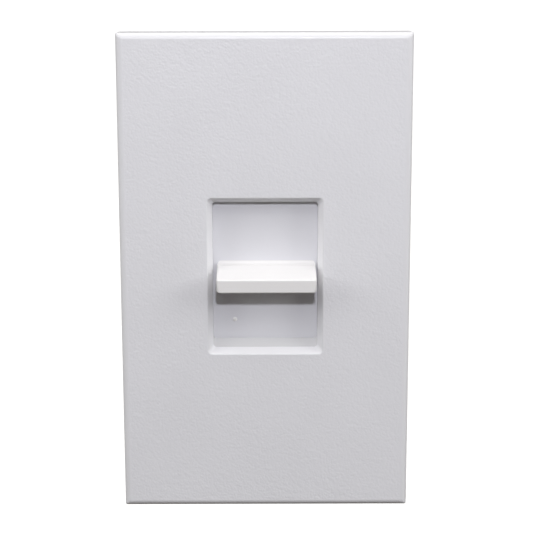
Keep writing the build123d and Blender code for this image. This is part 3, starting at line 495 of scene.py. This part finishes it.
def knob_section(shrink):
    """The bar's outline in the YZ plane as (y, z), pulled in by shrink at its round ends."""
    front = PLATE_FRONT + RECESS - KNOB_REACH
    back = SHUTTER_FRONT + SHUTTER_T / 2
    slope = (KNOB_ROOT_TOP - KNOB_FRONT_TOP) / (back - front)
    r = KNOB_EDGE_R
    points = []
    for step in range(5):
        turn = math.radians(90.0 * step / 4)
        points.append((
            front + shrink + r * (1 - math.sin(turn)),
            KNOB_BOTTOM + shrink + r * (1 - math.cos(turn)),
        ))
    for step in range(5):
        turn = math.radians(90.0 * step / 4)
        along = r * (1 - math.cos(turn))
        points.append((
            front + shrink + along,
            KNOB_FRONT_TOP - shrink - r * (1 - math.sin(turn)) + slope * along,
        ))
    points.append((back, KNOB_ROOT_TOP - shrink))
    points.append((back, KNOB_BOTTOM + shrink))
    return points


def knob_bar(materials):
    """The finger bar: its section swept across, drawn in at both ends and at its back corners."""
    bm = bmesh.new()
    half = KNOB_W / 2
    stations = []
    r = KNOB_EDGE_R
    for step in range(6):
        turn = math.radians(90.0 * step / 5)
        stations.append((half - r * (1 - math.sin(turn)), r * (1 - math.cos(turn))))
    columns = [(-x, s) for x, s in reversed(stations)] + stations
    columns = sorted(columns)
    rings = []
    for x, shrink in columns:
        side = 1 if x > 0 else -1
        points = []
        for y, z in knob_section(shrink):
            depth = SHUTTER_FRONT - y
            pull = KNOB_DRAFT * (depth / KNOB_REACH - 1.0)
            if depth < KNOB_PLAN_R:
                lean = min(1.0, (KNOB_PLAN_R - depth) / KNOB_PLAN_R)
                pull += KNOB_PLAN_R * (1 - math.sqrt(max(0.0, 1 - lean * lean)))
            rise = z - KNOB_BOTTOM
            if rise < KNOB_LOW_CORNER_R:
                lean = (KNOB_LOW_CORNER_R - rise) / KNOB_LOW_CORNER_R
                pull = max(pull, KNOB_LOW_CORNER_R * (1 - math.sqrt(max(0.0, 1 - lean * lean))))
            points.append(Vector((KNOB_X + side * (abs(x) - pull), y, z)) * MM)
        rings.append(points)
    loops = loft(bm, rings)
    bm.faces.new(loops[0])
    bm.faces.new(list(reversed(loops[-1])))
    return to_object("bar", bm, materials)


def root_blend(materials):
    """The hollow blend between the bar's top and the shutter."""
    bm = bmesh.new()
    slope = (KNOB_ROOT_TOP - KNOB_FRONT_TOP) / KNOB_REACH
    r = KNOB_ROOT_R
    top = KNOB_ROOT_TOP - slope * r
    outline = [(SHUTTER_FRONT + 0.3, top - 0.5), (SHUTTER_FRONT - r, top - 0.5)]
    for step in range(9):
        turn = math.radians(90.0 * step / 8)
        outline.append((SHUTTER_FRONT - r + r * math.sin(turn), top + r * (1 - math.cos(turn))))
    outline.append((SHUTTER_FRONT + 0.3, top + r))
    rings = []
    for side in (-1, 1):
        points = []
        for y, z in outline:
            rise = max(0.0, z - top + ROOT_END_DROP) / (r + ROOT_END_DROP)
            rounding = ROOT_END_R * (1 - math.sqrt(1 - min(rise, 1.0) ** 2))
            half = KNOB_W / 2 + KNOB_DRAFT - KNOB_PLAN_R - rounding
            points.append(Vector((KNOB_X + side * half, y, z)) * MM)
        rings.append(points)
    loops = loft(bm, rings)
    bm.faces.new(loops[0])
    bm.faces.new(list(reversed(loops[-1])))
    return to_object("blend", bm, materials)


def slide_knob():
    smooth = moulded("knob_satin", (0.88, 0.87, 0.855), 0.34, 0.002, 3000.0, 0.01)
    # The shutter is moulded in one piece with the knob but coloured darker and a little bluer. This is
    # partly a grey tint of its own and partly painted shade for the recess it sits back in.
    shaded_grey = moulded("shutter_satin_painted_shade", (0.81, 0.81, 0.84), 0.4, 0.002, 3000.0, 0.01)
    materials = [smooth, shaded_grey]
    bm = bmesh.new()
    rounded_block(
        bm, knob_low.x / MM, knob_high.x / MM, SHUTTER_FRONT, SHUTTER_FRONT + SHUTTER_T,
        knob_low.z / MM, knob_high.z / MM, 0.2,
    )
    # The shutter plate takes material 1, the darker grey that carries the painted recess shade.
    for face in bm.faces:
        face.material_index = 1
    knob = to_object("slide_knob_moulding", bm, materials)
    combine(knob, "UNION", knob_bar(materials))
    combine(knob, "UNION", root_blend(materials))
    legs = bmesh.new()
    for side in (-1, 1):
        x = side * LEG_X
        rounded_block(
            legs, x - LEG_W / 2, x + LEG_W / 2, SHUTTER_FRONT + SHUTTER_T - 0.2, knob_high.y / MM,
            -LEG_H / 2, LEG_H / 2, 0.3,
        )
    combine(knob, "UNION", to_object("legs", legs, materials))
    pip = bmesh.new()
    bmesh.ops.create_uvsphere(pip, u_segments=24, v_segments=16, radius=PIP_R * MM)
    for vert in pip.verts:
        vert.co += Vector((PIP_X, SHUTTER_FRONT + PIP_SUNK, PIP_Z)) * MM
    combine(knob, "UNION", to_object("pip", pip, materials))
    even_shading(knob)
    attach(knob, "slider")
    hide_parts("slide_knob")
    return knob


# --------------------------------------------------------------------- screws

SCREW_SIDES = 32
STEPS_PER_TURN = 10


def turned_screw(bm, head, end, major, minor, pitch, place):
    """A turned head, then a helical thread. head is (along, radius) pairs from the face back."""
    def circle(along, radius_at):
        turns = [2.0 * math.pi * side / SCREW_SIDES for side in range(SCREW_SIDES)]
        return [
            Vector(place(along, radius_at(t) * math.cos(t), radius_at(t) * math.sin(t))) * MM
            for t in turns
        ]

    rings = [circle(along, lambda turn, r=radius: r) for along, radius in head]
    start = head[-1][0]
    steps = int(STEPS_PER_TURN * (end - start) / pitch)
    for step in range(1, steps + 1):
        along = start + (end - start) * step / steps
        fade = min(1.0, (along - start) / pitch, 0.3 + (end - along) / pitch)
        point = min(1.0, 0.7 + (end - along) / pitch)

        def radius_at(turn):
            phase = (along / pitch - turn / (2.0 * math.pi)) % 1.0
            tooth = min(1.0, max(0.0, 1.7 * (1.0 - abs(2.0 * phase - 1.0)) - 0.35))
            return (minor + (major - minor) * tooth * fade) * point

        rings.append(circle(along, radius_at))
    loops = loft(bm, rings)
    bm.faces.new(loops[0])
    bm.faces.new(list(reversed(loops[-1])))


def rounded_head(radius, thick, round_r, shank):
    """A cheese head's outline with a rounded front edge."""
    points = [(round_r * (1 - math.cos(t)), radius - round_r * (1 - math.sin(t)))
              for t in (math.radians(15.0 * step) for step in range(7))]
    return points + [(thick - 0.1, radius), (thick, radius - 0.1), (thick, shank)]


def screw_set(node, slot_name, materials, screws, cuts):
    """One piece from a node's screws. Crossing cuts come one at a time, because they meet each other."""
    material = materials[slot_name]
    piece = to_object(node + "_threaded", screws, [material], 40.0)
    for cut in cuts:
        combine(piece, "DIFFERENCE", to_object(node + "_recess", cut, [material]))
    even_shading(piece, 40.0)
    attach(piece, "dimmer_body")
    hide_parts(node)


def wall_screws(node, materials, places, head, end, shank, pitch, recesses):
    """Screws along Y at the (x, z) places, with recesses cut into the head's face."""
    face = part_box(node)[0].y / MM
    screws = bmesh.new()
    for x, z in places:
        def place(along, across, up):
            return (x + across, face + along, z + up)

        turned_screw(screws, head, end, *shank, pitch, place)
    cuts = []
    for half_x, half_z, depth in recesses:
        cut = bmesh.new()
        for x, z in places:
            rounded_block(
                cut, x - half_x, x + half_x, face - 1.0, face + depth, z - half_z, z + half_z, 0.1,
            )
        cuts.append(cut)
    screw_set(node, "plated_steel", materials, screws, cuts)


def side_screws(node, slot_name, materials, places, out):
    """Binding screws along X whose slotted heads face out, at the (y, z) places."""
    low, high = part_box(node)
    face = (high.x if out > 0 else low.x) / MM
    end = (high.x - low.x) / MM
    binding_head = rounded_head(BINDING_HEAD_R, BINDING_HEAD_T, 0.5, 1.6)
    screws = bmesh.new()
    slots_cut = bmesh.new()
    for y, z in places:
        def place(along, across, up):
            return (face - out * along, y + across, z + up)

        turned_screw(screws, binding_head, end, 1.7, 1.36, 0.79, place)
        x0, x1 = sorted((face - out * 0.9, face + out))
        rounded_block(slots_cut, x0, x1, y - 5.0, y + 5.0, z - 0.6, z + 0.6, 0.1)
    screw_set(node, slot_name, materials, screws, [slots_cut])


def screws(materials):
    flat_head = [(0.0, 3.15), (0.08, 3.15), (1.3, 1.65)]
    cross = [(2.2, 0.4, 0.7), (0.4, 2.2, 0.7)]
    strap_holes = [(0.0, -STRAP_SCREW_Z), (0.0, STRAP_SCREW_Z)]
    wall_screws("adapter_screws", materials, strap_holes, flat_head, 10.6, (1.7, 1.36), 0.79, cross)
    columns = (-HOUSING_SCREW_X, HOUSING_SCREW_X)
    corners = [(x, z) for x in columns for z in (-HOUSING_SCREW_Z, HOUSING_SCREW_Z)]
    pan_head = rounded_head(2.8, 1.4, 0.6, 1.1)
    wall_screws("housing_screws", materials, corners, pan_head, 12.6, (1.25, 0.92), 1.0, [(1.7, 0.4, 0.7)])
    terminals = [(TERMINAL_Y, -TERMINAL_Z), (TERMINAL_Y, TERMINAL_Z)]
    side_screws("terminal_screws", "brass", materials, terminals, 1)
    side_screws("ground_screw", "green_steel", materials, [(GROUND_Y, GROUND_Z)], -1)


# ---------------------------------------------------------- stage and camera

CAMERA_TILT = 11.63
CAMERA_ROLL = -0.144
CAMERA_DISTANCE = 339.2
CAMERA_HEIGHT = 72.4
CAMERA_SIDE = 0.32
CAMERA_LENS = 97.33
FLOOR_DROP = 0.35
FLOOR_REACH = 5.4
BACKDROP_RADIUS = 5.5
SKY_LIGHT = 1.12
LOW_TINT = (0.085, 0.076, 0.064)
TOP_TINT = (1.0, 0.985, 0.965)
DARK = (0.0, 0.0, 0.0)
SKY_STOPS = ((0.0, LOW_TINT), (0.46, LOW_TINT), (0.49, DARK), (0.76, DARK), (0.83, TOP_TINT))
KEY_ELEVATION = 26.8
KEY_AZIMUTH = 2.0
KEY_DISTANCE = 0.48
KEY_SIZE = 0.03
KEY_POWER = 0.86
KEY_TINT = (0.98, 0.98, 1.06)
SIDE_AZIMUTH = 68.0
SIDE_ELEVATION = 22.0
SIDE_DISTANCE = 0.6
SIDE_SIZE = 0.3
LEFT_POWER = 1.10
RIGHT_POWER = 1.34
SIDE_TINT = (1.0, 1.0, 1.0)


def camera():
    """Square to the plate, looking down on it a little from above."""
    data = bpy.data.cameras.new("camera")
    data.lens = CAMERA_LENS
    data.sensor_width = 36.0
    data.clip_start = 0.01
    data.clip_end = 100.0
    piece = bpy.data.objects.new("camera", data)
    centre_z = (plate_low.z + plate_high.z) / 2
    piece.location = (
        CAMERA_SIDE * MM, plate_low.y - CAMERA_DISTANCE * MM, centre_z + CAMERA_HEIGHT * MM,
    )
    look = Matrix.Rotation(math.radians(90.0 - CAMERA_TILT), 3, "X")
    roll = Matrix.Rotation(math.radians(CAMERA_ROLL), 3, "Z")
    piece.rotation_euler = (look @ roll).to_euler()
    bpy.context.scene.collection.objects.link(piece)
    bpy.context.scene.camera = piece


def sky():
    """A studio surround: a bright ceiling, dark round the sides, and a dim floor."""
    world = bpy.data.worlds.new("surround")
    bpy.context.scene.world = world
    world.use_nodes = True
    tree = world.node_tree
    background = tree.nodes["Background"]
    background.inputs["Strength"].default_value = SKY_LIGHT
    coords = tree.nodes.new("ShaderNodeTexCoord")
    split = tree.nodes.new("ShaderNodeSeparateXYZ")
    tree.links.new(coords.outputs["Generated"], split.inputs["Vector"])
    height = remap(tree, split.outputs["Z"], 0.0, 1.0, -1.0, 1.0)
    ramp = tree.nodes.new("ShaderNodeValToRGB")
    stops = ramp.color_ramp.elements
    for place, tint in SKY_STOPS[1:-1]:
        stops.new(place)
    for stop, (place, tint) in zip(stops, SKY_STOPS):
        stop.position = place
        stop.color = (*tint, 1.0)
    tree.links.new(height, ramp.inputs["Fac"])
    tree.links.new(ramp.outputs["Color"], background.inputs["Color"])


def lamp(name, azimuth, elevation, distance, size, power, tint):
    """A round lamp aimed at the middle of the plate. azimuth is to the right of the viewer's line."""
    centre = Vector((0.0, plate_low.y, (plate_low.z + plate_high.z) / 2))
    up = math.radians(elevation)
    side = math.radians(azimuth)
    away = Vector((math.sin(side) * math.cos(up), -math.cos(side) * math.cos(up), math.sin(up)))
    data = bpy.data.lights.new(name, "AREA")
    data.shape = "DISK"
    data.size = size
    data.energy = power
    data.color = tint
    piece = bpy.data.objects.new(name, data)
    piece.location = centre + away * distance
    piece.rotation_euler = away.to_track_quat("Z", "Y").to_euler()
    bpy.context.scene.collection.objects.link(piece)


def lamps():
    """A small lamp above the camera, for the hard shadow under the knob, and a soft one each side."""
    lamp("key", KEY_AZIMUTH, KEY_ELEVATION, KEY_DISTANCE, KEY_SIZE, KEY_POWER, KEY_TINT)
    sides = (("left", -SIDE_AZIMUTH, LEFT_POWER), ("right", SIDE_AZIMUTH, RIGHT_POWER))
    for name, azimuth, power in sides:
        lamp(name, azimuth, SIDE_ELEVATION, SIDE_DISTANCE, SIDE_SIZE, power, SIDE_TINT)


def floor():
    """A plain white floor well below the dimmer, which hangs as it does on a wall."""
    bm = bmesh.new()
    z = cad_box[0][2] - FLOOR_DROP
    corners = ((-1, -1), (1, -1), (1, 1), (-1, 1))
    bm.faces.new([bm.verts.new((x * FLOOR_REACH, y * FLOOR_REACH, z)) for x, y in corners])
    material, _, shader, _ = node_material("floor_white")
    shader.inputs["Base Color"].default_value = (0.9, 0.9, 0.9, 1.0)
    shader.inputs["Roughness"].default_value = 0.9
    shader.inputs["Emission Color"].default_value = (1.0, 1.0, 1.0, 1.0)
    shader.inputs["Emission Strength"].default_value = 0.45
    piece = to_object("floor", bm, [material])
    piece.visible_diffuse = False
    piece.visible_glossy = False


def backdrop():
    """A white dome beyond the floor, seen by the camera only."""
    bm = bmesh.new()
    bmesh.ops.create_uvsphere(bm, u_segments=48, v_segments=24, radius=BACKDROP_RADIUS)
    material, _, shader, _ = node_material("backdrop_white")
    shader.inputs["Base Color"].default_value = (0.0, 0.0, 0.0, 1.0)
    shader.inputs["Emission Color"].default_value = (1.0, 1.0, 1.0, 1.0)
    shader.inputs["Emission Strength"].default_value = 1.1
    piece = to_object("backdrop", bm, [material])
    piece.visible_diffuse = False
    piece.visible_glossy = False
    piece.visible_transmission = False
    piece.visible_shadow = False


slots = slot_materials()
dress_cad_nodes(slots)
face_plate()
slide_knob()
screws(slots)
camera()
sky()
lamps()
floor()
backdrop()
bpy.context.scene.view_settings.view_transform = "Standard"
